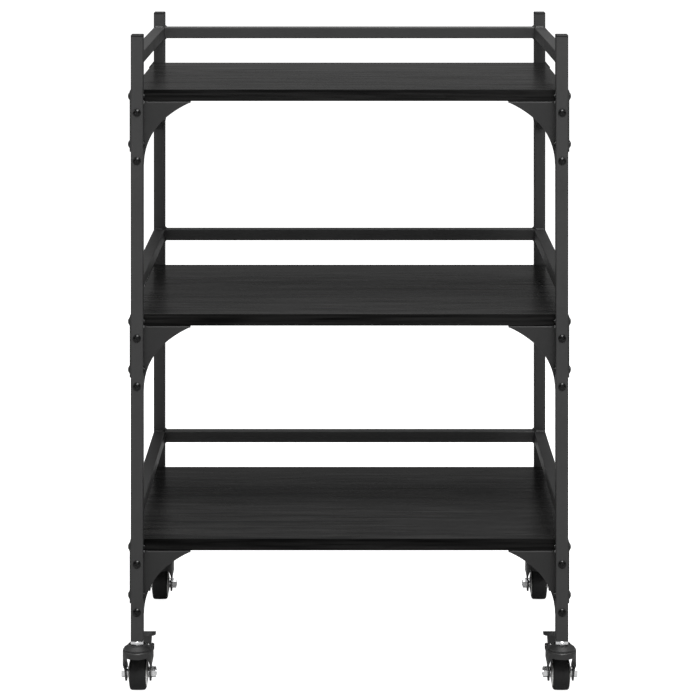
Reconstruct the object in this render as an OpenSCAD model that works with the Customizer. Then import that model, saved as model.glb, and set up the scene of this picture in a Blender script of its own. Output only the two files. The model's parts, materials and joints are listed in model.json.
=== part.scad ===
// Bar cart on wheels: a square-tube frame with three boards, gallery rails on
// three sides of each board, bent corner gussets and four swivel castors.
// X runs along the width, Y from front to back, Z up from the floor.

/* [Overall] */
// Width over the posts
cart_w = 600; // [500:1:800]
// Depth over the posts
cart_d = 400; // [340:1:500]
// Height of the bottom board's top face above the floor
bottom_shelf_z = 211; // [190:0.5:260]
// Height from one board's top face to the next
shelf_pitch = 309.5; // [260:0.5:360]
// Height of the posts, caps included, above the top board
post_above_shelf = 77; // [65:1:140]

/* [Tube] */
// Outer size of the square tube
tube = 17; // [15:0.5:22]
// Wall thickness of the tube
wall = 1.2; // [0.8:0.1:1.8]
// Outer corner radius of the tube
tube_corner_r = 1.4; // [1.3:0.1:2]
// Visible height of a post's plastic end cap
cap_h = 3.3; // [2:0.1:5]

/* [Boards and rails] */
// Thickness of each board
board_t = 16; // [12:1:22]
// Clear height between a board and the rails above it
rail_gap = 37; // [25:1:45]

/* [Gussets] */
// Thickness of the gusset sheet
sheet = 1.5; // [1:0.1:2]
// How far a gusset reaches in from its post
gusset_reach = 67; // [66:0.5:68]
// How far a face gusset hangs below its board
gusset_drop = 87; // [84:0.5:88]
// Height of a side plate, from its board's top face down
plate_drop = 84; // [82:0.5:88]
// Depth of the flange that is bent in under the board
flange_d = 16; // [12:0.5:20]
// Outer radius of the bend between gusset and flange
bend_r = 2.8; // [2.2:0.1:4]

/* [Bolts] */
// Shank radius of the frame bolts
bolt_r = 3; // [2.5:0.1:3]
// Radius of a bolt's domed head
bolt_head_r = 5.7; // [5:0.1:6.5]
// Height of a bolt's domed head
bolt_head_h = 3; // [2.4:0.1:3.6]

/* [Castors] */
// Height of the posts' feet above the floor
foot_z = 75; // [74:0.5:78]
// Wheel radius
wheel_r = 24; // [23:0.5:24.5]
// Width of the tyre
tyre_w = 23; // [18:0.5:24]
// How far the wheel trails behind the swivel axis
trail = 20; // [17:0.5:22]
// Radius of the fork's crown
crown_r = 20.1; // [19.5:0.1:21]
// Angle that a pressed brake pedal turns through, 0 for released
pedal_turn = 0; // [0:1:14]

/* [Hidden] */
$fn = 64;

// Which side a piece is on
LEFT = -1;
RIGHT = 1;
FRONT = -1;
REAR = 1;
SIDES = [LEFT, RIGHT];
ENDS = [FRONT, REAR];
// Board levels, from the floor up
BOTTOM = 0;
MIDDLE = 1;
TOP = 2;
LEVELS = [BOTTOM, MIDDLE, TOP];

// Running clearance on a shaft's radius, and the slack round a bolt
running_gap = 0.05;
// Post centres, and the faces of the posts that look into the cart
post_x = (cart_w - tube) / 2;
post_y = (cart_d - tube) / 2;
inner_x = cart_w / 2 - tube;
inner_y = cart_d / 2 - tube;
board_d = 2 * inner_y;
top_shelf_z = bottom_shelf_z + TOP * shelf_pitch;
post_top_z = top_shelf_z + post_above_shelf - cap_h;
// The castors trail to the back, so the frame sits forward of the middle of the footprint
frame_y = (crown_r - trail - wheel_r) / 2;

// Heights of the bolts: below the board for the face bolts, below the shelf for the side bolts
FACE_BOLT_DROPS = [14, 80];
SIDE_BOLT_DROPS = [8, 74];
face_nut_h = 4.6;
face_nut_af = 10;
bolt_flange_h = 0.8;
socket_af_r = 2.3;
rivet_r = 4.2;
rivet_flange_r = 5.2;
rivet_flange_h = 0.8;
rivet_l = 9;
bolt_tip = 1.2;

// The gusset's hollow edge: two round arcs, tangent where they meet
edge_join = [30, -23];
edge_join_turn = 40;
edge_low_r = 84;
edge_high_r = 140;
// Where the flange starts and ends along the gusset, and its screw
flange_start = 3.7;
flange_end = 64;
screw_u = 36;
plate_screw_u = 26;
screw_r = 1.75;
screw_l = 12;
screw_head_r = 3.6;
screw_head_h = 1.8;

cap_plug_l = 12;
cap_edge_r = 1.6;
plug_l = 28;

// Castor stem, lock nut and ball race
stem_r = 5;
stem_head_r = 8.5;
stem_head_z = 55;
stem_head_h = 4;
crown_z = 62.5;
crown_t = 2.2;
crown_edge_r = 2.4;
cup_rim_z = 69.6;
cup_rim_r = 12.4;
cup_skirt_r = 18.2;
cup_seat_z = 67.6;
nut_af = 17;
ball_r = 1.5;
ball_count = 12;
race_r = 14;

// Fork legs: half widths at the crown and at the axle
leg_t = 2.2;
leg_top_half = crown_r;
leg_low_half = 17.9;
leg_taper_top_z = 42;
leg_taper_low_z = 31;
leg_tip_r = 12;
leg_front_y = -11;
leg_rear_y = 27;
apron_z = 54;
notch_y = 16;
// Sloping cut across the outer shoulder, as X and Z, full at shoulder_y
shoulder_y = 20;
shoulder_turn = 20;
shoulder = [[13.1, 62.5], [13.1, 90], [35, 90], [35, 37.2]];

// Wheel and axle
axle_r = 4;
axle_nut_af = 13;
axle_nut_h = 6.4;
axle_head_h = 5.4;
axle_tip = 0.9;
washer_r = 7;
hub_half = 14.2;
hub_rim_half = 11.6;
hub_r = 18.8;
tyre_edge_r = 3.6;

// Brake pedal
pivot = [24, 57.5];
pin_r = 2.5;
pedal_ear_r = 5;
pedal_t = 2;
pedal_half = 12.9;
// The pedal stands off the wheel's middle plane, away from the cart's corner
pedal_shift = -3.2;
lug_in = 10.7;
lug_out = 12.9;
lug_front_y = 9;
pedal_end_half = 17.4;
pedal_rise = 7;
shoe = [32, 50];
shoe_r = 1.9;
rivet_head_r = 4.2;
rivet_head_h = 1.1;

// ---------- shared shapes ----------

function shelf_z(level) = bottom_shelf_z + level * shelf_pitch;
function under_board_z(level) = shelf_z(level) - board_t;

// Square with round corners, centred
module rounded_square(size, r) {
    square([size, size - 2 * r], center = true);
    square([size - 2 * r, size], center = true);
    for (x = [-1, 1], y = [-1, 1])
        translate([x * (size / 2 - r), y * (size / 2 - r)]) circle(r);
}

module tube_section() {
    difference() {
        rounded_square(tube, tube_corner_r);
        square(tube - 2 * wall, center = true);
    }
}

// Shapes drawn in Y and Z, then extruded along X about the middle
module across_x(width) {
    rotate([90, 0, 90]) linear_extrude(width, center = true) children();
}

module along_x(r, h) {
    rotate([0, 90, 0]) cylinder(r = r, h = h, center = true);
}

module along_y(r, h) {
    rotate([90, 0, 0]) cylinder(r = r, h = h, center = true);
}

module hex(af, h) {
    cylinder(r = af / sqrt(3), h = h, $fn = 6);
}

// Moves a shape that is drawn for the right rear into any corner
module in_corner(side, end) {
    mirror([side == LEFT ? 1 : 0, 0, 0]) mirror([0, end == FRONT ? 1 : 0, 0]) children();
}

module frame_place() {
    translate([0, frame_y, 0]) children();
}

// ---------- posts, caps, rails, boards ----------

module bolt_holes() {
    for (level = LEVELS) {
        for (drop = FACE_BOLT_DROPS)
            translate([0, 0, under_board_z(level) - drop]) along_y(bolt_r + running_gap, 2 * tube);
        for (drop = SIDE_BOLT_DROPS)
            translate([0, 0, shelf_z(level) - drop]) {
                along_x(bolt_r + running_gap, 2 * tube);
                translate([-tube / 2, 0, 0]) along_x(rivet_r, tube);
            }
    }
}

module post(side, end) {
    color("#2a2a2b") frame_place() in_corner(side, end) translate([post_x, post_y, 0])
        difference() {
            translate([0, 0, foot_z]) linear_extrude(post_top_z - foot_z) tube_section();
            bolt_holes();
        }
}

// Cap with rounded top edges, and the plug that grips inside the tube
module post_cap() {
    module profile() {
        translate([-tube / 2, 0]) square([tube, cap_h - cap_edge_r]);
        translate([-tube / 2 + cap_edge_r, 0]) square([tube - 2 * cap_edge_r, cap_h]);
        for (s = [-1, 1])
            translate([s * (tube / 2 - cap_edge_r), cap_h - cap_edge_r]) circle(cap_edge_r);
    }
    intersection() {
        rotate([90, 0, 0]) linear_extrude(tube, center = true) profile();
        across_x(tube) profile();
        linear_extrude(cap_h) rounded_square(tube, tube_corner_r);
    }
    translate([0, 0, -cap_plug_l]) linear_extrude(cap_plug_l + 0.5)
        square(tube - 2 * wall, center = true);
}

module post_caps() {
    color("#141415") frame_place() for (side = SIDES, end = ENDS)
        in_corner(side, end) translate([post_x, post_y, post_top_z]) post_cap();
}

module back_rail(level) {
    color("#2a2a2b") frame_place()
        translate([0, post_y, shelf_z(level) + rail_gap + tube / 2])
            across_x(2 * inner_x) tube_section();
}

module side_rail(level, side) {
    color("#2a2a2b") frame_place()
        translate([side * post_x, 0, shelf_z(level) + rail_gap + tube / 2])
            rotate([90, 0, 0]) linear_extrude(board_d, center = true) tube_section();
}

// Pilot holes for the screws that come up through the gussets and in through the side plates
module board_pilots() {
    for (side = SIDES, end = ENDS) in_corner(side, end) {
        translate([inner_x - screw_u, inner_y - screw_y(), -board_t - 1])
            cylinder(r = screw_r, h = screw_l + 1);
        translate([cart_w / 2, inner_y - plate_screw_u, -SIDE_BOLT_DROPS[0]])
            along_x(screw_r, 2 * screw_l);
    }
}

module board(level) {
    color("#1f1f20") frame_place() translate([0, 0, shelf_z(level)])
        difference() {
            translate([-cart_w / 2, -inner_y, -board_t]) cube([cart_w, board_d, board_t]);
            board_pilots();
        }
}

// ---------- gussets and side plates ----------

// How far behind the gusset's face its screw stands
function screw_y() = (bend_r + flange_d) / 2;

// Outline of a gusset: u runs in from the post's inner edge, and height 0 is its top
module gusset_outline(top, drop) {
    toward = [sin(edge_join_turn), -cos(edge_join_turn)];
    difference() {
        union() {
            translate([0, -drop]) square([gusset_reach, drop - top]);
            translate([1 - tube, 2 - drop]) square([tube - 1, drop - top - 2]);
            translate([3 - tube, -drop]) square([tube - 3, 3]);
            translate([3 - tube, 2 - drop]) circle(2);
        }
        translate(edge_join + edge_low_r * toward) circle(edge_low_r, $fn = 180);
        intersection() {
            translate(edge_join + edge_high_r * toward) circle(edge_high_r, $fn = 180);
            translate([edge_join[0], -drop - 1]) square([gusset_reach, drop + 1]);
        }
    }
}

// Bent gusset, drawn with its face at y = 0 and the board's underside at z = 0
module face_gusset() {
    difference() {
        union() {
            translate([0, sheet, 0]) rotate([90, 0, 0]) linear_extrude(sheet) {
                gusset_outline(bend_r, gusset_drop);
                // the corner beside the post, where the flange isn't bent
                translate([0, -bend_r - 1]) square([flange_start, bend_r + 1]);
            }
            translate([(flange_start + flange_end) / 2, 0, 0]) across_x(flange_end - flange_start) {
                translate([bend_r, -sheet]) square([flange_d - bend_r, sheet]);
                intersection() {
                    translate([0, -bend_r]) square(bend_r);
                    translate([bend_r, -bend_r]) difference() {
                        circle(bend_r);
                        circle(bend_r - sheet);
                    }
                }
            }
        }
        for (drop = FACE_BOLT_DROPS)
            translate([-tube / 2, 0, -drop]) along_y(bolt_r + running_gap, 4 * sheet);
        translate([screw_u, screw_y(), -2 * sheet]) cylinder(r = screw_r + running_gap, h = 4 * sheet);
    }
}

module gusset_place(side, end, level) {
    translate([side * inner_x, end * inner_y, under_board_z(level)])
        mirror([side == RIGHT ? 1 : 0, 0, 0]) mirror([0, end == REAR ? 1 : 0, 0]) children();
}

module face_gussets(end, level) {
    color("#242425") frame_place() for (side = SIDES)
        gusset_place(side, end, level) face_gusset();
}

// Flat plate, drawn against the plane x = 0 with u along y and its top at z = 0
module side_plate() {
    difference() {
        translate([sheet / 2, 0, 0]) across_x(sheet) gusset_outline(0, plate_drop);
        for (drop = SIDE_BOLT_DROPS)
            translate([0, -tube / 2, -drop]) along_x(bolt_r + running_gap, 4 * sheet);
        translate([0, plate_screw_u, -SIDE_BOLT_DROPS[0]]) along_x(screw_r + running_gap, 4 * sheet);
    }
}

module side_plates(side, level) {
    color("#242425") frame_place() for (end = ENDS)
        translate([side * cart_w / 2, end * inner_y, shelf_z(level)])
            mirror([side == LEFT ? 1 : 0, 0, 0]) mirror([0, end == REAR ? 1 : 0, 0]) side_plate();
}

// ---------- fasteners ----------

// Domed bolt with a socket, its head's underside at z = 0 and its shank going down
module domed_bolt(shank) {
    dome_h = bolt_head_h - bolt_flange_h;
    dome_base_r = bolt_head_r - 0.4;
    dome_r = (dome_base_r * dome_base_r + dome_h * dome_h) / (2 * dome_h);
    difference() {
        union() {
            cylinder(r = bolt_head_r, h = bolt_flange_h);
            intersection() {
                translate([0, 0, bolt_head_h - dome_r]) sphere(dome_r);
                cylinder(r = bolt_head_r, h = bolt_head_h);
            }
            translate([0, 0, -shank]) cylinder(r = bolt_r, h = shank + 0.1);
        }
        translate([0, 0, bolt_head_h - 1.6]) cylinder(r = socket_af_r, h = 2, $fn = 6);
    }
}

face_bolt_l = tube + sheet + face_nut_h + bolt_tip;

module face_bolts() {
    color("#161617") frame_place() for (side = SIDES, end = ENDS, level = LEVELS)
        for (drop = FACE_BOLT_DROPS)
            in_corner(side, end) translate([post_x, cart_d / 2, under_board_z(level) - drop])
                rotate([-90, 0, 0]) domed_bolt(face_bolt_l);
}

module face_nuts() {
    color("#2c2c2e") frame_place() for (side = SIDES, end = ENDS, level = LEVELS)
        for (drop = FACE_BOLT_DROPS)
            in_corner(side, end) translate([post_x, inner_y - sheet, under_board_z(level) - drop])
                rotate([90, 0, 0]) difference() {
                    hex(face_nut_af, face_nut_h);
                    translate([0, 0, -1]) cylinder(r = bolt_r + running_gap, h = face_nut_h + 2);
                }
}

module side_bolts() {
    color("#161617") frame_place() for (side = SIDES, end = ENDS, level = LEVELS)
        for (drop = SIDE_BOLT_DROPS)
            in_corner(side, end) translate([cart_w / 2 + sheet, post_y, shelf_z(level) - drop])
                rotate([0, 90, 0]) domed_bolt(tube + sheet + rivet_flange_h + bolt_tip);
}

// Rivet nut in a post's inner wall: its flange outside the tube, its barrel inside
module rivet_nut() {
    difference() {
        union() {
            translate([0, 0, -rivet_l]) cylinder(r = rivet_r - 0.02, h = rivet_l);
            cylinder(r = rivet_flange_r, h = rivet_flange_h);
        }
        translate([0, 0, -rivet_l - 1]) cylinder(r = bolt_r + running_gap, h = rivet_l + 3);
    }
}

module side_nuts() {
    color("#2c2c2e") frame_place() for (side = SIDES, end = ENDS, level = LEVELS)
        for (drop = SIDE_BOLT_DROPS)
            in_corner(side, end) translate([inner_x, post_y, shelf_z(level) - drop])
                rotate([0, -90, 0]) rivet_nut();
}

// Pan-head screw, its head's underside at z = 0 and its shank going up
module wood_screw(through) {
    cylinder(r = screw_r - 0.02, h = through + screw_l - 1);
    translate([0, 0, -screw_head_h / 2]) cylinder(r = screw_head_r, h = screw_head_h / 2);
    translate([0, 0, -screw_head_h])
        cylinder(r1 = screw_head_r - 1, r2 = screw_head_r, h = screw_head_h / 2);
}

module board_screws() {
    color("#1c1c1d") frame_place() for (side = SIDES, end = ENDS, level = LEVELS) {
        in_corner(side, end)
            translate([inner_x - screw_u, inner_y - screw_y(), under_board_z(level) - sheet])
                wood_screw(sheet);
        in_corner(side, end)
            translate([cart_w / 2 + sheet, inner_y - plate_screw_u, shelf_z(level) - SIDE_BOLT_DROPS[0]])
                rotate([0, -90, 0]) wood_screw(sheet);
    }
}

// ---------- castors: what stays with the frame ----------

// Places a castor, drawn about its swivel axis with the wheel trailing to +y
module castor_place(side, end) {
    frame_place() translate([side * post_x, end * post_y, 0])
        mirror([side == LEFT ? 1 : 0, 0, 0]) children();
}

module for_castors() {
    for (side = SIDES, end = ENDS) castor_place(side, end) children();
}

module stem_plugs() {
    color("#1b1b1c") for_castors() difference() {
        translate([0, 0, foot_z]) linear_extrude(plug_l) square(tube - 2 * wall, center = true);
        translate([0, 0, foot_z - 1]) cylinder(r = stem_r, h = plug_l + 2);
    }
}

module castor_stems() {
    color("#b9bbc0") for_castors() {
        translate([0, 0, stem_head_z]) cylinder(r = stem_head_r, h = stem_head_h);
        translate([0, 0, stem_head_z]) cylinder(r = stem_r, h = foot_z + plug_l - stem_head_z);
    }
}

module stem_nuts() {
    color("#d0d2d6") for_castors() difference() {
        intersection() {
            translate([0, 0, cup_seat_z]) rotate([0, 0, 30]) hex(nut_af, foot_z - cup_seat_z);
            // rounded corners, as a nut is turned
            translate([0, 0, foot_z - 14]) cylinder(r1 = 19, r2 = 8.9, h = 14);
        }
        translate([0, 0, cup_seat_z - 1]) cylinder(r = stem_r, h = 2 * foot_z);
    }
}

module race_cups() {
    color("#262627") for_castors() rotate_extrude($fn = 96) polygon([
        [stem_r, cup_seat_z],
        [stem_r, cup_seat_z - 1.4],
        [13, cup_seat_z - 1],
        [cup_skirt_r - 1.2, cup_seat_z - 3.4],
        [cup_skirt_r - 1.2, crown_z + 0.6],
        [cup_skirt_r, crown_z + 0.6],
        [cup_skirt_r, crown_z + 2.2],
        [cup_rim_r + 0.2, cup_seat_z + 1],
        [cup_rim_r, cup_rim_z],
        [cup_rim_r - 1.2, cup_rim_z],
        [cup_rim_r - 1.2, cup_seat_z]
    ]);
}

module race_balls() {
    color("#c8cacd") for_castors() for (i = [0 : ball_count - 1])
        rotate([0, 0, i * 360 / ball_count]) translate([race_r, 0, crown_z + 0.1 + ball_r])
            sphere(ball_r, $fn = 24);
}

// ---------- castors: what turns ----------

// Where the line from p touches the circle round c: turn is +1 or -1 for the two sides
function tangent_point(p, c, r, turn) =
    let (
        d = norm(c - p),
        aim = atan2(c[1] - p[1], c[0] - p[0]) + turn * asin(r / d),
        reach = sqrt(d * d - r * r)
    )
    p + reach * [cos(aim), sin(aim)];

wheel_axis = [trail, wheel_r];
leg_front_top = [leg_front_y, apron_z - 2];
leg_rear_top = [leg_rear_y, crown_z - 6];

// The fork from the side, as Y and Z
module fork_side() {
    polygon([
        [-crown_r, crown_z],
        [-crown_r, apron_z],
        [leg_front_y - 2, apron_z],
        leg_front_top,
        tangent_point(leg_front_top, wheel_axis, leg_tip_r, -1),
        wheel_axis,
        tangent_point(leg_rear_top, wheel_axis, leg_tip_r, 1),
        leg_rear_top,
        [leg_rear_y - 2, crown_z - 1],
        [leg_rear_y - 5, crown_z]
    ]);
    translate(wheel_axis) circle(leg_tip_r);
    translate(pivot) circle(pedal_ear_r);
}

// The fork from the front, as X and Z: inset is 0 outside and the sheet's thickness inside
module fork_front(inset, top) {
    low = leg_low_half - inset;
    high = leg_top_half - inset;
    polygon([
        [-low, 0],
        [low, 0],
        [low, leg_taper_low_z],
        [high, leg_taper_top_z],
        [high, top],
        [-high, top],
        [-high, leg_taper_top_z],
        [-low, leg_taper_low_z]
    ]);
}

// The fork from above: round in front of the swivel axis, straight behind it
module fork_plan(inset) {
    circle(crown_r - inset, $fn = 96);
    translate([inset - crown_r, 0]) square([2 * (crown_r - inset), 2 * trail]);
}

module crown_envelope() {
    rotate_extrude($fn = 96) {
        square([crown_r, crown_z - crown_edge_r]);
        square([crown_r - crown_edge_r, crown_z]);
        translate([crown_r - crown_edge_r, crown_z - crown_edge_r]) circle(crown_edge_r);
    }
    rotate([-90, 0, 0]) linear_extrude(2 * trail) mirror([0, 1]) {
        translate([-crown_r, 0]) square([2 * crown_r, crown_z - crown_edge_r]);
        translate([crown_edge_r - crown_r, 0]) square([2 * (crown_r - crown_edge_r), crown_z]);
        for (s = [-1, 1])
            translate([s * (crown_r - crown_edge_r), crown_z - crown_edge_r]) circle(crown_edge_r);
    }
}

// The bent sheet, before it is drilled
module fork_sheet() {
    difference() {
        intersection() {
            across_x(3 * crown_r) fork_side();
            rotate([90, 0, 0]) linear_extrude(6 * crown_r, center = true) fork_front(0, crown_z);
            linear_extrude(crown_z) fork_plan(0);
            crown_envelope();
        }
        intersection() {
            rotate([90, 0, 0]) linear_extrude(6 * crown_r, center = true)
                fork_front(leg_t, crown_z - crown_t);
            translate([0, 0, -1]) linear_extrude(crown_z) fork_plan(leg_t);
        }
        // room for the pedal behind the crown
        translate([leg_t - crown_r, notch_y, apron_z]) cube([2 * (crown_r - leg_t), 2 * trail, 2 * trail]);
        translate([0, shoulder_y, 0]) rotate([0, 0, shoulder_turn]) rotate([90, 0, 0])
            linear_extrude(3 * trail, center = true) polygon(shoulder);
    }
}

// Lug under the crown that holds the outer end of the pedal's pin
module pedal_lug() {
    translate([(lug_in + lug_out) / 2, 0, 0]) across_x(lug_out - lug_in) {
        translate(pivot) circle(pedal_ear_r);
        translate([lug_front_y, pivot[1] - pedal_ear_r])
            square([pivot[0] - lug_front_y, crown_z - crown_t / 2 - pivot[1] + pedal_ear_r]);
    }
}

module fork(side, end) {
    color("#262627") castor_place(side, end) difference() {
        union() {
            fork_sheet();
            pedal_lug();
        }
        cylinder(r = stem_r + running_gap, h = 2 * foot_z);
        translate([0, wheel_axis[0], wheel_axis[1]]) along_x(axle_r + running_gap, 3 * crown_r);
        translate([lug_out + 1 - crown_r, pivot[0], pivot[1]]) along_x(pin_r, 2 * crown_r);
    }
}

module at_wheel_axis() {
    translate([0, wheel_axis[0], wheel_axis[1]]) children();
}

// Axle bolt with its head outside, its nut inside and a washer at each end of the hub
module axle(side, end) {
    shank = 2 * leg_low_half + axle_nut_h + axle_tip;
    washer_t = leg_low_half - leg_t - hub_half - 0.2;
    color("#c3c5ca") castor_place(side, end) at_wheel_axis() rotate([0, -90, 0]) {
        translate([0, 0, -leg_low_half - axle_head_h]) hex(axle_nut_af, axle_head_h);
        translate([0, 0, -leg_low_half - 1]) cylinder(r = axle_r, h = shank + 1);
        difference() {
            translate([0, 0, leg_low_half]) hex(axle_nut_af, axle_nut_h);
            translate([0, 0, leg_low_half - 1]) cylinder(r = axle_r + running_gap / 2, h = 2 * axle_nut_h);
        }
        for (s = [-1, 1]) difference() {
            translate([0, 0, s * (hub_half + 0.1 + washer_t / 2)])
                cylinder(r = washer_r, h = washer_t, center = true);
            cylinder(r = axle_r + running_gap / 2, h = 4 * hub_half, center = true);
        }
    }
}

// Hub with dished faces: each half is bounded by a large round arc
module hub(side, end) {
    sag = hub_half - hub_rim_half;
    face_r = (hub_r * hub_r + sag * sag) / (2 * sag);
    color("#e9e9e6") castor_place(side, end) at_wheel_axis() rotate([0, 90, 0])
        difference() {
            rotate_extrude($fn = 96) intersection() {
                translate([axle_r + running_gap, -hub_half])
                    square([hub_r - axle_r - running_gap, 2 * hub_half]);
                translate([0, hub_half - face_r]) circle(face_r, $fn = 180);
                translate([0, face_r - hub_half]) circle(face_r, $fn = 180);
            }
            // shallow ring pressed into each face
            for (s = [-1, 1]) rotate_extrude($fn = 96)
                translate([13.4, s * (hub_rim_half + 1.3)]) circle(0.9, $fn = 24);
        }
}

module tyre(side, end) {
    color("#1a1a1a") castor_place(side, end) at_wheel_axis() rotate([0, 90, 0])
        rotate_extrude($fn = 96) difference() {
            union() {
                translate([hub_r, -tyre_w / 2]) square([wheel_r - hub_r - tyre_edge_r, tyre_w]);
                translate([hub_r, -tyre_w / 2 + tyre_edge_r])
                    square([wheel_r - hub_r, tyre_w - 2 * tyre_edge_r]);
                for (s = [-1, 1])
                    translate([wheel_r - tyre_edge_r, s * (tyre_w / 2 - tyre_edge_r)]) circle(tyre_edge_r);
            }
            translate([0, -tyre_w]) square([hub_r, 2 * tyre_w]);
        }
}

// ---------- brake pedal ----------

// Ears that hang on the pin, from the side
module pedal_ear() {
    translate(pivot) circle(pedal_ear_r);
    translate(shoe) circle(shoe_r);
    polygon([
        [pivot[0] - 3, pivot[1] - 4],
        [shoe[0] - 1.2, shoe[1] - 1.5],
        [shoe[0] + 1.5, shoe[1] - 1.2],
        [pivot[0] + 24, pivot[1] + 3.5],
        [pivot[0] + 26, pivot[1] + 7],
        [pivot[0] + 1, pivot[1] + pedal_ear_r - 0.1]
    ]);
}

// Tread plate from the side, rising a little and curled down at its end
module pedal_tread() {
    translate([pivot[0] + 1, pivot[1] + 3]) rotate(pedal_rise) {
        square([34, pedal_t]);
        translate([34, -3 + pedal_t]) intersection() {
            circle(3);
            translate([0, 0]) square(4);
        }
        translate([34, -5 + pedal_t]) square([3, 2.2]);
        translate([34, -3 + pedal_t]) square([3, 0.2]);
    }
}

// Tread plate from above: a neck and a wider end
module pedal_plan() {
    neck_end = pivot[0] + 22;
    translate([-pedal_half, pivot[0]]) square([2 * pedal_half, 2 * trail]);
    translate([0, neck_end + 8]) for (s = [-1, 1])
        translate([s * (pedal_end_half - 5), 0]) circle(5);
    translate([5 - pedal_end_half, neck_end + 3]) square([2 * pedal_end_half - 10, 12]);
    translate([-pedal_end_half, neck_end + 8]) square([2 * pedal_end_half, 8]);
}

module pedal(side, end) {
    color("#202021") castor_place(side, end)
        translate([0, pivot[0], pivot[1]]) rotate([-pedal_turn, 0, 0]) translate([0, -pivot[0], -pivot[1]])
        translate([pedal_shift, 0, 0]) difference() {
            union() {
                intersection() {
                    across_x(3 * crown_r) pedal_tread();
                    linear_extrude(2 * foot_z) pedal_plan();
                }
                for (s = [-1, 1])
                    translate([s * (pedal_half - pedal_t / 2), 0, 0]) across_x(pedal_t) pedal_ear();
                translate([0, shoe[0], shoe[1]]) along_x(shoe_r, 2 * pedal_half - pedal_t);
            }
            translate([0, pivot[0], pivot[1]]) along_x(pin_r + running_gap, 3 * crown_r);
        }
}

// Pin with a flat head at each end and a collar on each side of the pedal
module pedal_pin(side, end) {
    inner_wall = leg_t - crown_r;
    discs = [
        [-crown_r - rivet_head_h, -crown_r],
        [inner_wall + 0.1, pedal_shift - pedal_half - 0.1],
        [pedal_shift + pedal_half + 0.1, lug_in - 0.1],
        [lug_out, lug_out + rivet_head_h]
    ];
    color("#3a3b3e") castor_place(side, end) translate([0, pivot[0], pivot[1]]) rotate([0, 90, 0]) {
        translate([0, 0, -crown_r - 0.1]) cylinder(r = pin_r, h = crown_r + lug_out + 0.2);
        for (d = discs) translate([0, 0, d[0]]) cylinder(r = rivet_head_r, h = d[1] - d[0]);
    }
}

post(LEFT, FRONT);  // post_front_left
post(RIGHT, FRONT);  // post_front_right
post(LEFT, REAR);  // post_rear_left
post(RIGHT, REAR);  // post_rear_right
post_caps();
board(TOP);  // top_board
board(MIDDLE);  // middle_board
board(BOTTOM);  // bottom_board
back_rail(TOP);  // top_back_rail
side_rail(TOP, LEFT);  // top_left_rail
side_rail(TOP, RIGHT);  // top_right_rail
back_rail(MIDDLE);  // middle_back_rail
side_rail(MIDDLE, LEFT);  // middle_left_rail
side_rail(MIDDLE, RIGHT);  // middle_right_rail
back_rail(BOTTOM);  // bottom_back_rail
side_rail(BOTTOM, LEFT);  // bottom_left_rail
side_rail(BOTTOM, RIGHT);  // bottom_right_rail
face_gussets(FRONT, TOP);  // top_front_gussets
face_gussets(REAR, TOP);  // top_rear_gussets
face_gussets(FRONT, MIDDLE);  // middle_front_gussets
face_gussets(REAR, MIDDLE);  // middle_rear_gussets
face_gussets(FRONT, BOTTOM);  // bottom_front_gussets
face_gussets(REAR, BOTTOM);  // bottom_rear_gussets
side_plates(LEFT, TOP);  // top_left_side_plates
side_plates(RIGHT, TOP);  // top_right_side_plates
side_plates(LEFT, MIDDLE);  // middle_left_side_plates
side_plates(RIGHT, MIDDLE);  // middle_right_side_plates
side_plates(LEFT, BOTTOM);  // bottom_left_side_plates
side_plates(RIGHT, BOTTOM);  // bottom_right_side_plates
face_bolts();
face_nuts();
side_bolts();
side_nuts();
board_screws();
stem_plugs();
castor_stems();
stem_nuts();
race_cups();
race_balls();
fork(LEFT, FRONT);  // front_left_fork
axle(LEFT, FRONT);  // front_left_axle
hub(LEFT, FRONT);  // front_left_hub
tyre(LEFT, FRONT);  // front_left_tyre
fork(RIGHT, FRONT);  // front_right_fork
axle(RIGHT, FRONT);  // front_right_axle
hub(RIGHT, FRONT);  // front_right_hub
tyre(RIGHT, FRONT);  // front_right_tyre
fork(LEFT, REAR);  // rear_left_fork
axle(LEFT, REAR);  // rear_left_axle
hub(LEFT, REAR);  // rear_left_hub
tyre(LEFT, REAR);  // rear_left_tyre
fork(RIGHT, REAR);  // rear_right_fork
axle(RIGHT, REAR);  // rear_right_axle
hub(RIGHT, REAR);  // rear_right_hub
tyre(RIGHT, REAR);  // rear_right_tyre
pedal(LEFT, FRONT);  // front_left_pedal
pedal_pin(LEFT, FRONT);  // front_left_pedal_pin
pedal(RIGHT, FRONT);  // front_right_pedal
pedal_pin(RIGHT, FRONT);  // front_right_pedal_pin
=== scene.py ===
import json
import math

import bmesh
import bpy
from mathutils import Matrix, Vector


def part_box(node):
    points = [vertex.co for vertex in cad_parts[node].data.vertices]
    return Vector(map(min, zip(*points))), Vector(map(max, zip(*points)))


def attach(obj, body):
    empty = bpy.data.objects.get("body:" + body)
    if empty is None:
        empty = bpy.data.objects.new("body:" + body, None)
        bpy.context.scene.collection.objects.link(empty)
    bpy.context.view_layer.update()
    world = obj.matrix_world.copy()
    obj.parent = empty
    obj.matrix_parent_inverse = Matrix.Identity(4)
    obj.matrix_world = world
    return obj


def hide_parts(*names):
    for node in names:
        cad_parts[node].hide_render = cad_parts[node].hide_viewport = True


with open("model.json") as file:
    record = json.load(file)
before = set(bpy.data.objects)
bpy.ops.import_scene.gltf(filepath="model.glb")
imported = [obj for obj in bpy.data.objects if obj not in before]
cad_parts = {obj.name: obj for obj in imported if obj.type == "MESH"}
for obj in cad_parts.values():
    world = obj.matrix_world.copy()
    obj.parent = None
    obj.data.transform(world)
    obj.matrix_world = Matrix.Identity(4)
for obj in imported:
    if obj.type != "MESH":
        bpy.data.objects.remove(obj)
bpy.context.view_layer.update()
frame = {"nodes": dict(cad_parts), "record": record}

# ---------- sizes, in metres ----------

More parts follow.
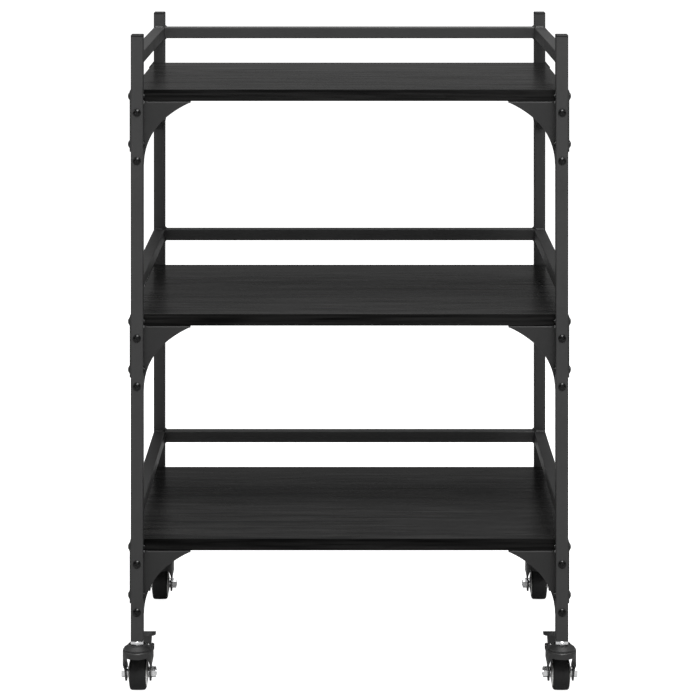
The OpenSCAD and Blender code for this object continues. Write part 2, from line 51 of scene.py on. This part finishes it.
MM = 0.001
LEVELS = ("top", "middle", "bottom")
SIDES = ("left", "right")
CASTORS = ("front_left", "front_right", "rear_left", "rear_right")

EDGING_T = 0.9 * MM
EDGING_ARRIS = 0.42 * MM
FACE_ARRIS = 0.15 * MM

WELD_LEG = 2.3 * MM
WELD_SUNK = 0.4 * MM
WELD_RIPPLE = 1.3 * MM
WELD_STEPS = 44
WELD_ARC = 8
WELD_SHORT_OF_RAIL = 3.0 * MM
WELD_RIPPLE_RISE = 0.09
WELD_BULGE = 0.22
WELD_END_SHARE, WELD_END_SLOPE = 0.25, 7

TYRE_SHOULDER = 3.4 * MM
TYRE_CROWN = 0.25 * MM
TYRE_LEAN = 0.25 * MM
TYRE_STEPS = 128

HUB_BORE = 4.2 * MM
HUB_DOME = 2.6 * MM
HUB_CHAMFER = 0.4 * MM
HUB_STEPS = 144
HUB_FACE_STEPS = 36
GROOVE_R, GROOVE_W, GROOVE_DEPTH = 15.2 * MM, 0.45 * MM, 0.5 * MM
INNER_GROOVE_R, INNER_GROOVE_W, INNER_GROOVE_DEPTH = 7.3 * MM, 0.4 * MM, 0.35 * MM
POCKET_R, POCKET_REACH, POCKET_DEPTH = 11.2 * MM, 2.6 * MM, 0.8 * MM
HUB_SPOKES = 6

PEDAL_RISE = math.radians(7)
RIB_COUNT = 4
RIB_FIRST, RIB_PITCH = 5.0 * MM, 3.4 * MM
RIB_HALF, LAST_RIB_HALF = 13.0 * MM, 11.0 * MM
RIB_R = 0.75 * MM
RIB_SUNK = 0.15 * MM
RIB_FLATNESS = 0.8
TREAD_TIP = 3.5 * MM
RIB_STEPS = 24
RIB_ARC = 8


# ---------- small tools for shader trees ----------


def add(tree, kind, inputs=None, **settings):
    """A node of that kind with these settings; inputs is {socket name or number: value or output to link}."""
    made = tree.nodes.new("ShaderNode" + kind)
    for name, value in settings.items():
        setattr(made, name, value)
    for name, value in (inputs or {}).items():
        socket = made.inputs[name]
        if isinstance(value, bpy.types.NodeSocket):
            tree.links.new(value, socket)
        else:
            socket.default_value = value
    return made


def math_node(tree, operation, a, b=0.0, clamp=False):
    made = add(tree, "Math", {0: a, 1: b}, operation=operation)
    made.use_clamp = clamp
    return made.outputs[0]


def remap(tree, value, low, high, to_low=0.0, to_high=1.0):
    made = add(
        tree,
        "MapRange",
        {"Value": value, "From Min": low, "From Max": high, "To Min": to_low, "To Max": to_high},
    )
    return made.outputs["Result"]


def noise(tree, where, scale, detail=2.0, roughness=0.5, distortion=0.0):
    made = add(
        tree,
        "TexNoise",
        {"Vector": where, "Scale": scale, "Detail": detail, "Roughness": roughness, "Distortion": distortion},
    )
    return made.outputs["Fac"]


def stretched(tree, where, by):
    """where with each axis multiplied by its number in by."""
    return add(tree, "VectorMath", {0: where, 1: by}, operation="MULTIPLY").outputs[0]


def blend_colours(tree, share, a, b):
    made = tree.nodes.new("ShaderNodeMix")
    made.data_type = "RGBA"
    for socket, value in ((made.inputs[0], share), (made.inputs[6], a), (made.inputs[7], b)):
        if isinstance(value, bpy.types.NodeSocket):
            tree.links.new(value, socket)
        else:
            socket.default_value = value
    return made.outputs[2]


def new_group(name, inputs, outputs):
    """An empty shader node group. inputs are (name, kind, value) and outputs are (name, kind)."""
    tree = bpy.data.node_groups.new(name, "ShaderNodeTree")
    for title, kind, value in inputs:
        socket = tree.interface.new_socket(title, in_out="INPUT", socket_type="NodeSocket" + kind)
        if value is not None:
            socket.default_value = value
    for title, kind in outputs:
        tree.interface.new_socket(title, in_out="OUTPUT", socket_type="NodeSocket" + kind)
    return tree, tree.nodes.new("NodeGroupInput").outputs, tree.nodes.new("NodeGroupOutput").inputs


def use_group(tree, group, values):
    made = tree.nodes.new("ShaderNodeGroup")
    made.node_tree = group
    for name, value in values.items():
        if isinstance(value, bpy.types.NodeSocket):
            tree.links.new(value, made.inputs[name])
        else:
            made.inputs[name].default_value = value
    return made.outputs


# ---------- shared effects ----------


def make_fine_texture():
    """Orange peel of a powder coat or the spark-eroded skin of a moulding, with slow patches over it."""
    tree, given, out = new_group(
        "fine_texture",
        [("Vector", "Vector", None), ("Grain Scale", "Float", 900.0), ("Patch Scale", "Float", 16.0)],
        [("Height", "Float"), ("Patch", "Float"), ("Speck", "Float")],
    )
    fine = noise(tree, given["Vector"], given["Grain Scale"], 1.5, 0.55)
    coarse = noise(tree, given["Vector"], math_node(tree, "MULTIPLY", given["Grain Scale"], 0.32), 1.0)
    fine_part = math_node(tree, "MULTIPLY", fine, 0.7)
    height = math_node(tree, "ADD", fine_part, math_node(tree, "MULTIPLY", coarse, 0.5))
    patch = remap(tree, noise(tree, given["Vector"], given["Patch Scale"], 3.0, 0.6), 0.3, 0.7)
    speck = remap(tree, fine, 0.62, 0.78)
    for title, value in (("Height", height), ("Patch", patch), ("Speck", speck)):
        tree.links.new(value, out[title])
    return tree


def make_edge_wear():
    """A mask along the outside edges, broken up as handling breaks it up."""
    tree, given, out = new_group(
        "edge_wear",
        [
            ("Vector", "Vector", None),
            ("Radius", "Float", 0.0008),
            ("Breakup Scale", "Float", 60.0),
            ("Amount", "Float", 0.5),
        ],
        [("Mask", "Float")],
    )
    rounded = add(tree, "Bevel", {"Radius": given["Radius"]}, samples=4)
    plain = add(tree, "NewGeometry")
    normals = {0: rounded.outputs[0], 1: plain.outputs["Normal"]}
    dot = add(tree, "VectorMath", normals, operation="DOT_PRODUCT")
    edge = remap(tree, dot.outputs["Value"], 0.985, 0.86)
    breakup = remap(tree, noise(tree, given["Vector"], given["Breakup Scale"], 4.0, 0.65), 0.38, 0.68)
    worn = math_node(tree, "MULTIPLY", edge, breakup)
    mask = math_node(tree, "MULTIPLY", worn, given["Amount"], clamp=True)
    tree.links.new(mask, out["Mask"])
    return tree


def make_oak_grain():
    """Flat-sawn oak along X: slow arched rings, fine streaks and short open pores."""
    tree, given, out = new_group(
        "oak_grain",
        [
            ("Vector", "Vector", None),
            ("Ring Scale", "Float", 34.0),
            ("Sway", "Float", 0.05),
            ("Streak Scale", "Float", 260.0),
        ],
        [("Tone", "Float"), ("Pores", "Float"), ("Height", "Float")],
    )
    sway = noise(tree, stretched(tree, given["Vector"], (3.0, 7.0, 9.0)), 1.0, 2.0, 0.45)
    bend = math_node(tree, "MULTIPLY", math_node(tree, "SUBTRACT", sway, 0.5), given["Sway"])
    parts = add(tree, "SeparateXYZ", {0: given["Vector"]})
    across = math_node(tree, "ADD", parts.outputs["Y"], math_node(tree, "MULTIPLY", parts.outputs["Z"], 2.3))
    rings_at = math_node(tree, "MULTIPLY", math_node(tree, "ADD", across, bend), given["Ring Scale"])
    ring = math_node(tree, "PINGPONG", rings_at, 1.0)
    ring = math_node(tree, "POWER", ring, 2.2)
    strength = noise(tree, stretched(tree, given["Vector"], (2.5, 14.0, 14.0)), 1.0, 2.0)
    ring = math_node(tree, "MULTIPLY", ring, remap(tree, strength, 0.35, 0.7))
    fine = add(tree, "CombineXYZ", {0: 10.0, 1: given["Streak Scale"], 2: given["Streak Scale"]}).outputs[0]
    streak = remap(tree, noise(tree, stretched(tree, given["Vector"], fine), 1.0, 2.0, 0.5), 0.34, 0.66)
    broad = noise(tree, stretched(tree, given["Vector"], (2.2, 70.0, 70.0)), 1.0, 2.0, 0.5)
    broad = remap(tree, broad, 0.34, 0.66)
    pore = noise(tree, stretched(tree, given["Vector"], (60.0, 1500.0, 1500.0)), 1.0, 1.0, 0.5)
    pore = remap(tree, pore, 0.6, 0.72)
    pore = math_node(tree, "MULTIPLY", pore, remap(tree, broad, 0.35, 0.6))
    ring_part = math_node(tree, "MULTIPLY", ring, 0.3)
    tone = math_node(tree, "ADD", ring_part, math_node(tree, "MULTIPLY", streak, 0.4))
    tone = math_node(tree, "ADD", tone, math_node(tree, "MULTIPLY", broad, 0.3))
    raised = math_node(tree, "MULTIPLY", tone, 0.6)
    height = math_node(tree, "SUBTRACT", raised, math_node(tree, "MULTIPLY", pore, 0.8))
    for title, value in (("Tone", remap(tree, tone, 0.1, 0.85)), ("Pores", pore), ("Height", height)):
        tree.links.new(value, out[title])
    return tree


def make_settled_dust():
    """A thin film on faces that look up."""
    tree, given, out = new_group(
        "settled_dust",
        [("Vector", "Vector", None), ("Scale", "Float", 40.0), ("Amount", "Float", 0.1)],
        [("Mask", "Float")],
    )
    normal = add(tree, "NewGeometry").outputs["Normal"]
    up = remap(tree, add(tree, "SeparateXYZ", {0: normal}).outputs["Z"], 0.3, 1.0)
    patchy = remap(tree, noise(tree, given["Vector"], given["Scale"], 4.0, 0.6), 0.3, 0.75)
    settled = math_node(tree, "MULTIPLY", up, patchy)
    mask = math_node(tree, "MULTIPLY", settled, given["Amount"], clamp=True)
    tree.links.new(mask, out["Mask"])
    return tree


fine_texture = make_fine_texture()
edge_wear = make_edge_wear()
oak_grain = make_oak_grain()
settled_dust = make_settled_dust()

DUST_COLOUR = (0.30, 0.29, 0.28, 1.0)
PATCH_CONTRAST = 0.12
SPECK_SHARE = 0.35
SPECK_LIFT = 1.7


def start_material(name, specular, metallic=0.0):
    """A material with its Principled shader; constants sit on the shader's own sockets."""
    made = bpy.data.materials.new(name)
    made.use_nodes = True
    tree = made.node_tree
    tree.nodes.clear()
    shader = tree.nodes.new("ShaderNodeBsdfPrincipled")
    output = tree.nodes.new("ShaderNodeOutputMaterial")
    tree.links.new(shader.outputs[0], output.inputs["Surface"])
    shader.inputs["Specular IOR Level"].default_value = specular
    shader.inputs["Metallic"].default_value = metallic
    where = add(tree, "TexCoord").outputs["Object"]
    return made, tree, shader, where


def set_bump(tree, shader, height, distance):
    bump = add(tree, "Bump", {"Height": height, "Distance": distance, "Strength": 1.0})
    tree.links.new(bump.outputs[0], shader.inputs["Normal"])


def grey(value, warm=0.0):
    return (value * (1 + warm), value, value * (1 - warm), 1.0)


def coated(name, base, specular, rough, grain, bump, wear, wear_r, bare, dust=0.0):
    """Powder coat, black oxide, moulded plastic and rubber differ only in these numbers."""
    made, tree, shader, where = start_material(name, specular)
    skin = use_group(tree, fine_texture, {"Vector": where, "Grain Scale": grain, "Patch Scale": 17.0})
    wear_values = {"Vector": where, "Radius": wear_r, "Breakup Scale": 55.0, "Amount": wear}
    worn = use_group(tree, edge_wear, wear_values)
    low, high = grey(base * (1 - PATCH_CONTRAST)), grey(base * (1 + PATCH_CONTRAST))
    colour = blend_colours(tree, skin["Patch"], low, high)
    specks = math_node(tree, "MULTIPLY", skin["Speck"], SPECK_SHARE)
    colour = blend_colours(tree, specks, colour, grey(base * SPECK_LIFT))
    colour = blend_colours(tree, worn["Mask"], colour, bare)
    if dust:
        film = use_group(tree, settled_dust, {"Vector": where, "Scale": 45.0, "Amount": dust})
        colour = blend_colours(tree, film["Mask"], colour, DUST_COLOUR)
    tree.links.new(colour, shader.inputs["Base Color"])
    roughness = remap(tree, skin["Patch"], 0.0, 1.0, rough - 0.05, rough + 0.05)
    roughness = math_node(tree, "SUBTRACT", roughness, math_node(tree, "MULTIPLY", worn["Mask"], 0.12))
    tree.links.new(roughness, shader.inputs["Roughness"])
    set_bump(tree, shader, skin["Height"], bump)
    return made


def oak(name, dark, light, specular, rough, ring_scale, sway, streak_scale, bump):
    """Black oak: dark pores in a slightly lighter ground, with faintly worn edges."""
    made, tree, shader, where = start_material(name, specular)
    grain_values = {"Vector": where, "Ring Scale": ring_scale, "Sway": sway, "Streak Scale": streak_scale}
    grain = use_group(tree, oak_grain, grain_values)
    colour = blend_colours(tree, grain["Tone"], grey(dark), grey(light, 0.015))
    pores = math_node(tree, "MULTIPLY", grain["Pores"], 0.5)
    colour = blend_colours(tree, pores, colour, grey(dark * 0.5))
    wear_values = {"Vector": where, "Radius": 0.0009, "Breakup Scale": 35.0, "Amount": 0.16}
    worn = use_group(tree, edge_wear, wear_values)
    colour = blend_colours(tree, worn["Mask"], colour, grey(0.07, 0.05))
    tree.links.new(colour, shader.inputs["Base Color"])
    roughness = remap(tree, grain["Tone"], 0.0, 1.0, rough + 0.07, rough - 0.05)
    tree.links.new(roughness, shader.inputs["Roughness"])
    set_bump(tree, shader, grain["Height"], bump)
    return made


def zinc_plate(name):
    """Bright zinc: a metal with a faint clouded film, a fine grain and brighter edges."""
    made, tree, shader, where = start_material(name, 0.5, metallic=1.0)
    skin = use_group(tree, fine_texture, {"Vector": where, "Grain Scale": 700.0, "Patch Scale": 120.0})
    wear_values = {"Vector": where, "Radius": 0.0004, "Breakup Scale": 150.0, "Amount": 0.6}
    worn = use_group(tree, edge_wear, wear_values)
    colour = blend_colours(tree, skin["Patch"], (0.78, 0.785, 0.80, 1.0), (0.88, 0.885, 0.88, 1.0))
    colour = blend_colours(tree, worn["Mask"], colour, (0.93, 0.93, 0.92, 1.0))
    tree.links.new(colour, shader.inputs["Base Color"])
    tree.links.new(remap(tree, skin["Patch"], 0.0, 1.0, 0.22, 0.36), shader.inputs["Roughness"])
    set_bump(tree, shader, skin["Height"], 0.00003)
    return made


def nylon(name):
    """White moulded nylon, satin and faintly patchy."""
    made, tree, shader, where = start_material(name, 0.5)
    skin = use_group(tree, fine_texture, {"Vector": where, "Grain Scale": 1300.0, "Patch Scale": 70.0})
    colour = blend_colours(tree, skin["Patch"], (0.78, 0.78, 0.76, 1.0), (0.86, 0.86, 0.85, 1.0))
    tree.links.new(colour, shader.inputs["Base Color"])
    tree.links.new(remap(tree, skin["Patch"], 0.0, 1.0, 0.34, 0.46), shader.inputs["Roughness"])
    set_bump(tree, shader, skin["Height"], 0.00002)
    return made


BARE_STEEL = (0.22, 0.22, 0.23, 1.0)
materials = {
    # base, specular, roughness, grain scale, bump, edge wear, its radius, what shows under it
    "tube_powder_coat": coated(
        "tube_powder_coat", 0.0192, 0.46, 0.48, 1500.0, 0.00004, 0.20, 0.0009, BARE_STEEL
    ),
    "sheet_powder_coat": coated(
        "sheet_powder_coat", 0.016, 0.3, 0.52, 1500.0, 0.00004, 0.25, 0.0006, BARE_STEEL
    ),
    "black_plastic": coated("black_plastic", 0.003, 0.25, 0.50, 2000.0, 0.00002, 0.15, 0.0006, grey(0.05)),
    "black_bolt": coated("black_bolt", 0.0015, 0.22, 0.24, 2600.0, 0.00001, 0.35, 0.0004, BARE_STEEL),
    "castor_black": coated(
        "castor_black", 0.014, 0.45, 0.42, 1700.0, 0.00003, 0.30, 0.0006, BARE_STEEL, dust=0.02
    ),
    "tyre_rubber": coated(
        "tyre_rubber", 0.010, 0.25, 0.68, 1900.0, 0.00004, 0.25, 0.0012, grey(0.06, 0.05), dust=0.05
    ),
    # darkest, lightest, specular, roughness, ring scale, sway, streak scale, bump
    "black_oak": oak("black_oak", 0.0050, 0.0235, 0.10, 0.22, 74.0, 0.20, 230.0, 0.00007),
    "zinc": zinc_plate("zinc"),
    "white_nylon": nylon("white_nylon"),
}
oak_edge = oak("black_oak_edge", 0.0002, 0.0125, 0.05, 0.60, 110.0, 0.03, 300.0, 0.00010)

for part in frame["record"]["subparts"]:
    for material_slot in frame["nodes"][part["node"]].material_slots:
        material_slot.material = materials[part["material_slot"]]

# ---------- new pieces ----------


def new_piece(name, mesh, body, finish, material=None):
    mesh.name = name
    mesh.materials.append(material or materials[finish])
    piece = bpy.data.objects.new(name, mesh)
    bpy.context.scene.collection.objects.link(piece)
    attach(piece, body)
    return piece


def finished_mesh(work, name, smooth=True):
    bmesh.ops.recalc_face_normals(work, faces=work.faces)
    mesh = bpy.data.meshes.new(name)
    work.to_mesh(mesh)
    work.free()
    if smooth:
        mesh.shade_smooth()
        mesh.set_sharp_from_angle(angle=math.radians(32))
    return mesh


def eased_block(name, low, high, arris, segments=3):
    """A block between two corners with its arrises rounded over; its wide faces are shaded flat."""
    work = bmesh.new()
    bmesh.ops.create_cube(work, size=1.0)
    low, high = Vector(low), Vector(high)
    for vert in work.verts:
        vert.co = Vector(low[i] if vert.co[i] < 0 else high[i] for i in range(3))
    bmesh.ops.bevel(
        work,
        geom=work.edges[:],
        offset=arris,
        segments=segments,
        profile=0.5,
        affect="EDGES",
        clamp_overlap=True,
    )
    return finished_mesh(work, name, smooth=False)


def make_board(level):
    """The slab between its two faces, and a strip of edging on each of its four edges."""
    node = level + "_board"
    low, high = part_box(node)
    t = EDGING_T
    core_low = low + Vector((t, t, 0))
    core_high = high - Vector((t, t, 0))
    name = node + "_faces"
    core = new_piece(name, eased_block(name, core_low, core_high, FACE_ARRIS, 2), "frame", "black_oak")
    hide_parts(node)
    strips = {
        "front": ((low.x, low.y, low.z), (high.x, low.y + t, high.z)),
        "back": ((low.x, high.y - t, low.z), (high.x, high.y, high.z)),
        "left": ((low.x, low.y + t, low.z), (low.x + t, high.y - t, high.z)),
        "right": ((high.x - t, low.y + t, low.z), (high.x, high.y - t, high.z)),
    }
    for side, (a, b) in strips.items():
        name = f"{node}_{side}_edging"
        new_piece(name, eased_block(name, a, b, EDGING_ARRIS), "frame", "black_oak", oak_edge)


for level in LEVELS:
    make_board(level)


def row_height(vert, corner, direction):
    return (vert.co - corner).dot(direction)


def weld_bead(work, corner, along, out, up, length):
    """A rippled fillet in the corner between a rail and a post.

    out runs along the rail and up runs along the post, away from the rail.
    """
    rows = []
    for i in range(WELD_STEPS + 1):
        share = i / WELD_STEPS
        travel = (share - 0.5) * length
        taper = min(1.0, min(share, 1 - share) * WELD_END_SLOPE + WELD_END_SHARE)
        ripple = 1 + WELD_RIPPLE_RISE * abs(math.sin(math.pi * travel / WELD_RIPPLE))
        base = corner + along * travel
        row = []
        for j in range(WELD_ARC + 1):
            angle = math.pi / 2 * j / WELD_ARC
            flat = 1 / (math.cos(angle) + math.sin(angle))
            reach = WELD_LEG * taper * flat * (1 + WELD_BULGE * math.sin(2 * angle)) * ripple
            spot = base + out * (reach * math.cos(angle)) + up * (reach * math.sin(angle))
            row.append(work.verts.new(spot))
        up_post, along_rail = row_height(row[-1], corner, up), row_height(row[0], corner, out)
        row.append(work.verts.new(base - out * WELD_SUNK + up * up_post))
        row.append(work.verts.new(base - (out + up) * WELD_SUNK))
        row.append(work.verts.new(base + out * along_rail - up * WELD_SUNK))
        rows.append(row)
    count = len(rows[0])
    for a, b in zip(rows, rows[1:]):
        for j in range(count):
            k = (j + 1) % count
            work.faces.new((a[j], a[k], b[k], b[j]))
    work.faces.new(rows[0])
    work.faces.new(list(reversed(rows[-1])))


def make_welds(level, rail):
    """Beads above and below each end of a rail."""
    node = f"{level}_{rail}_rail"
    low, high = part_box(node)
    middle = (low + high) / 2
    axis = 0 if rail == "back" else 1
    run = Vector((1, 0, 0)) if axis == 0 else Vector((0, 1, 0))
    across = Vector((0, 1, 0)) if axis == 0 else Vector((1, 0, 0))
    wide = (high - low).dot(across) - WELD_SHORT_OF_RAIL
    work = bmesh.new()
    for end in (-1, 1):
        for up in (-1, 1):
            corner = middle.copy()
            corner[axis] = low[axis] if end < 0 else high[axis]
            corner.z = high.z if up > 0 else low.z
            weld_bead(work, corner, across, run * -end, Vector((0, 0, up)), wide)
    name = node + "_welds"
    new_piece(name, finished_mesh(work, name), "frame", "tube_powder_coat")


for level in LEVELS:
    for rail in ("back", "left", "right"):
        make_welds(level, rail)


def lathe(name, axis_point, profile, steps, dent=None):
    """A profile of (x from the middle, radius) turned about the X axis through axis_point.

    dent(x, r, angle) gives how far a point moves along x.
    """
    work = bmesh.new()
    rings = []
    for i in range(steps):
        angle = 2 * math.pi * i / steps
        ring = []
        for x, r in profile:
            shift = dent(x, r, angle) if dent else 0.0
            spot = Vector((x + shift, r * math.cos(angle), r * math.sin(angle)))
            ring.append(work.verts.new(axis_point + spot))
        rings.append(ring)
    for i in range(steps):
        a, b = rings[i], rings[(i + 1) % steps]
        for j in range(len(profile)):
            k = (j + 1) % len(profile)
            work.faces.new((a[j], a[k], b[k], b[j]))
    return finished_mesh(work, name)


def arc_points(centre, radius, start, stop, count):
    """Points on a circle in the (x, r) plane, angles in degrees from +x towards +r."""
    made = []
    for i in range(count + 1):
        angle = math.radians(start + (stop - start) * i / count)
        made.append((centre[0] + radius * math.cos(angle), centre[1] + radius * math.sin(angle)))
    return made


def mirrored(right):
    """The profile of the right half with its mirror image after it."""
    return right + [(-x, r) for x, r in reversed(right)]


def groove_depth(r, middle_r, width, depth):
    """How deep a smooth ring groove round middle_r is at the radius r."""
    return math.exp(-(((r - middle_r) / width) ** 2)) * depth


def make_tyre(castor):
    """The tyre with rounded shoulders, a raised mould line round its middle and a step on each wall."""
    node = castor + "_tyre"
    low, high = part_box(node)
    centre = (low + high) / 2
    half, outer = (high.x - low.x) / 2, (high.z - low.z) / 2
    inner = (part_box(castor + "_hub")[1].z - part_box(castor + "_hub")[0].z) / 2
    wall = half - TYRE_LEAN
    shoulder_at = (wall - TYRE_SHOULDER, outer - TYRE_CROWN - TYRE_SHOULDER)
    right = [
        (half - 0.5 * MM, inner),
        (half, inner + 0.5 * MM),
        (half, inner + 1.1 * MM),
        (wall, inner + 1.35 * MM),
    ]
    right += arc_points(shoulder_at, TYRE_SHOULDER, 8, 90, 9)
    right += [(half * 0.35, outer - 0.06 * MM), (0.45 * MM, outer - 0.05 * MM), (0.16 * MM, outer)]
    name = node + "_tread"
    mesh = lathe(name, centre, mirrored(right), TYRE_STEPS)
    piece = new_piece(name, mesh, castor + "_wheel", "tyre_rubber")
    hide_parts(node)


def make_hub(castor):
    """The moulded hub: domed faces with two ring grooves, and cored pockets between ribs."""
    node = castor + "_hub"
    low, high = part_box(node)
    centre = (low + high) / 2
    half, rim = (high.x - low.x) / 2, (high.z - low.z) / 2
    rim_half = half - HUB_DOME
    face_r = (rim * rim + HUB_DOME * HUB_DOME) / (2 * HUB_DOME)
    start = HUB_BORE + HUB_CHAMFER

    def face(r):
        return half - face_r + math.sqrt(face_r * face_r - r * r)

    right = [(half - 1.0 * MM, HUB_BORE), (face(start), start)]
    for i in range(1, HUB_FACE_STEPS):
        r = start + (rim - HUB_BORE - 0.9 * MM) * i / HUB_FACE_STEPS
        outer_groove = groove_depth(r, GROOVE_R, GROOVE_W, GROOVE_DEPTH)
        inner_groove = groove_depth(r, INNER_GROOVE_R, INNER_GROOVE_W, INNER_GROOVE_DEPTH)
        right.append((face(r) - outer_groove - inner_groove, r))
    right += [(rim_half - 0.15 * MM, rim - 0.25 * MM), (rim_half - 0.5 * MM, rim)]

    def pocket(x, r, angle):
        if abs(x) < rim_half * 0.8:
            return 0.0
        radial = max(0.0, 1 - ((r - POCKET_R) / POCKET_REACH) ** 2)
        spoke = 0.5 + 0.5 * math.cos(HUB_SPOKES * angle)
        open_part = min(1.0, max(0.0, (spoke - 0.18) * 5))
        return -math.copysign(POCKET_DEPTH * min(1.0, radial * 2.2) * open_part, x)

    name = node + "_moulding"
    mesh = lathe(name, centre, mirrored(right), HUB_STEPS, pocket)
    piece = new_piece(name, mesh, castor + "_wheel", "white_nylon")
    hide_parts(node)


for castor in CASTORS:
    make_tyre(castor)
    make_hub(castor)


def make_pedal_grip(side):
    """Pressed ribs across the pedal's tread, so that a shoe doesn't slip."""
    node = f"front_{side}_pedal"
    low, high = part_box(node)
    middle = (low.x + high.x) / 2
    work = bmesh.new()
    for i in range(RIB_COUNT):
        back = RIB_FIRST + RIB_PITCH * i
        y = high.y - back
        z = high.z - (back - TREAD_TIP) * math.tan(PEDAL_RISE) - RIB_SUNK
        half = RIB_HALF if i < RIB_COUNT - 1 else LAST_RIB_HALF
        rows = []
        for step in range(RIB_STEPS + 1):
            x = middle - half + 2 * half * step / RIB_STEPS
            past_end = max(0.0, abs(x - middle) - half + RIB_R) / RIB_R
            r = RIB_R * min(1.0, math.sqrt(max(0.0, 1 - past_end**2)) + 0.02)
            row = []
            for j in range(RIB_ARC + 1):
                angle = math.pi * j / RIB_ARC
                spot = (x, y + r * math.cos(angle), z + RIB_FLATNESS * r * math.sin(angle))
                row.append(work.verts.new(spot))
            rows.append(row)
        for a, b in zip(rows, rows[1:]):
            for j in range(RIB_ARC):
                work.faces.new((a[j], a[j + 1], b[j + 1], b[j]))
            work.faces.new((a[RIB_ARC], a[0], b[0], b[RIB_ARC]))
        work.faces.new(rows[0])
        work.faces.new(rows[-1])
    name = node + "_grip"
    new_piece(name, finished_mesh(work, name), node, "castor_black")


for side in SIDES:
    make_pedal_grip(side)

# ---------- floor, light and camera ----------

scene = bpy.context.scene
scene.view_settings.view_transform = "Standard"

FLOOR_HALF = 60.0
FLOOR_GLOW = 1.0
SKY_LOW = 0.108
SKY_HIGH = 0.45
floor_material, floor_tree, floor_shader, floor_where = start_material("pale_floor", 0.1)
floor_values = {"Vector": floor_where, "Grain Scale": 260.0, "Patch Scale": 1.3}
floor_skin = use_group(floor_tree, fine_texture, floor_values)
floor_colour = blend_colours(floor_tree, floor_skin["Patch"], grey(0.44), grey(0.46))
floor_tree.links.new(floor_colour, floor_shader.inputs["Base Color"])
floor_shader.inputs["Roughness"].default_value = 0.8
# the floor's glow is seen by the camera only, so it lights nothing
floor_shader.inputs["Emission Color"].default_value = (1.0, 1.0, 1.0, 1.0)
floor_seen = add(floor_tree, "LightPath").outputs["Is Camera Ray"]
floor_glow = math_node(floor_tree, "MULTIPLY", floor_seen, FLOOR_GLOW)
floor_tree.links.new(floor_glow, floor_shader.inputs["Emission Strength"])
floor_mesh = bpy.data.meshes.new("floor")
floor_mesh.from_pydata(
    [(x * FLOOR_HALF, y * FLOOR_HALF, 0.0) for x, y in ((-1, -1), (1, -1), (1, 1), (-1, 1))],
    [],
    [(0, 1, 2, 3)],
)
floor_mesh.materials.append(floor_material)
floor = bpy.data.objects.new("floor", floor_mesh)
scene.collection.objects.link(floor)

world = bpy.data.worlds.new("studio")
world.use_nodes = True
sky = world.node_tree
up = add(sky, "SeparateXYZ", {0: add(sky, "TexCoord").outputs["Generated"]}).outputs["Z"]
glow = remap(sky, up, 0.0, 1.0, SKY_LOW, SKY_HIGH)
# the camera sees a white room past the floor's edge; all other rays get the dimmer sky
seen = add(sky, "LightPath").outputs["Is Camera Ray"]
strength = math_node(sky, "MAXIMUM", glow, seen)
sky.links.new(strength, sky.nodes["Background"].inputs["Strength"])
sky.nodes["Background"].inputs["Color"].default_value = (1.0, 1.0, 1.0, 1.0)
scene.world = world


def soft_box(name, place, aim, size, watts):
    light = bpy.data.lights.new(name, "AREA")
    light.shape = "RECTANGLE"
    light.size, light.size_y = size
    light.energy = watts
    made = bpy.data.objects.new(name, light)
    scene.collection.objects.link(made)
    made.location = place
    made.rotation_mode = "QUATERNION"
    made.rotation_quaternion = (Vector(aim) - Vector(place)).to_track_quat("-Z", "Y")


soft_box("key_box", (0.5, -2.6, 3.9), (0.0, 0.0, 0.5), (2.2, 1.4), 205.0)
soft_box("front_box", (0.0, -4.0, 0.95), (0.0, 0.0, 0.45), (3.0, 0.9), 20.0)
soft_box("top_box", (0.0, 0.3, 3.4), (0.0, 0.0, 0.4), (2.6, 2.0), 60.0)
soft_box("left_box", (-2.6, -0.6, 2.0), (0.0, 0.0, 0.5), (1.0, 2.0), 14.0)
soft_box("right_box", (2.6, -0.6, 2.0), (0.0, 0.0, 0.5), (1.0, 2.0), 10.0)

CAMERA_BACK = 3.257
CAMERA_HEIGHT = 1.199
CAMERA_PITCH = math.radians(12.534)
CAMERA_LENS = 125.22
CAMERA_ASIDE = 0.0007

camera_data = bpy.data.cameras.new("camera")
camera_data.sensor_width = 36.0
camera_data.lens = CAMERA_LENS
camera_data.clip_start = 0.05
camera_data.clip_end = 200.0
camera = bpy.data.objects.new("camera", camera_data)
scene.collection.objects.link(camera)
front_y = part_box("post_front_left")[0].y
aim = Vector((0.0, math.cos(CAMERA_PITCH), -math.sin(CAMERA_PITCH)))
rig = bpy.data.objects.new("camera_rig", None)
scene.collection.objects.link(rig)
camera.parent = rig
# the back of the camera stays upright while its lens looks down, as on a view camera
camera.matrix_parent_inverse = Matrix(
    (
        (1.0, 0.0, -aim.x, CAMERA_ASIDE),
        (0.0, 0.0, -aim.y, front_y - CAMERA_BACK),
        (0.0, 1.0, -aim.z, CAMERA_HEIGHT),
        (0.0, 0.0, 0.0, 1.0),
    )
)
scene.camera = camera
